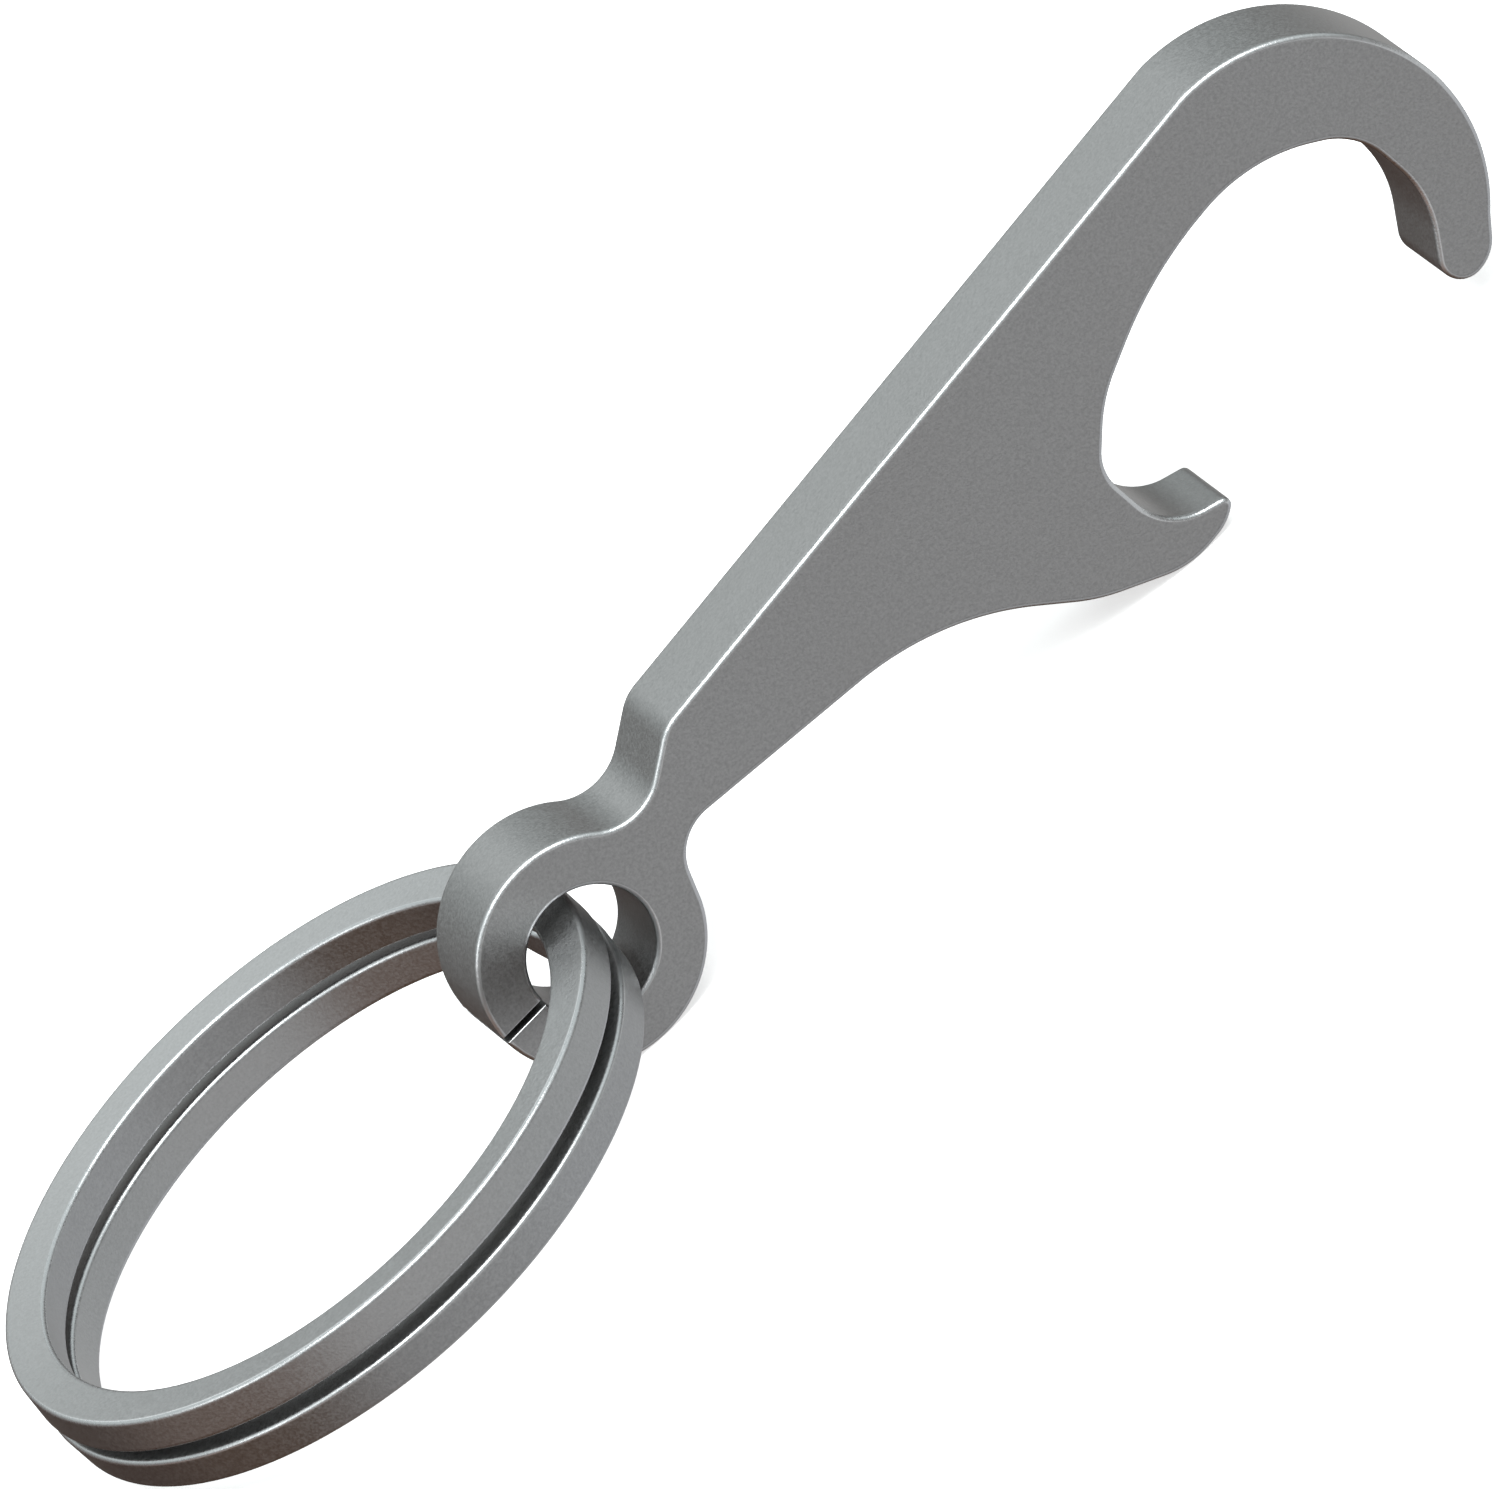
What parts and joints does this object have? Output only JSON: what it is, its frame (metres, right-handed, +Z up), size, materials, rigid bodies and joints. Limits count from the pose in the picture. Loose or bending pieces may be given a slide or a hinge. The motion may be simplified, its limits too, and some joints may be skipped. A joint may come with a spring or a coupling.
{
  "type": "keychain bottle opener",
  "caption": "Flat metal bottle opener with a round hook, a prying tooth and a slit eye that carries a flat-wire split key ring.",
  "frame": {"origin": "under the middle of the whole object's box, on the surface that it stands on", "axes": "+X along the opener, from the key ring to the hook; +Y from the opener's front face to its back face; +Z up"},
  "size_m": [0.0835, 0.0322, 0.0172],
  "materials": {
    "opener_metal": "fine bead-blasted titanium grey, satin, with brighter machined chamfers",
    "ring_metal": "fine bead-blasted titanium grey, satin, with brighter broken edges"
  },
  "bodies": {
    "opener": {"opener_body": "opener_metal"},
    "ring": {"key_ring": "ring_metal"}
  },
  "joints": [
    {"name": "ring_swivel", "type": "hinge", "parent": "opener", "child": "ring", "pos_m": [-0.01087, -0.00077, 0.0054], "axis": [0, 1, 0], "range_deg": [-160, 160]}
  ]
}
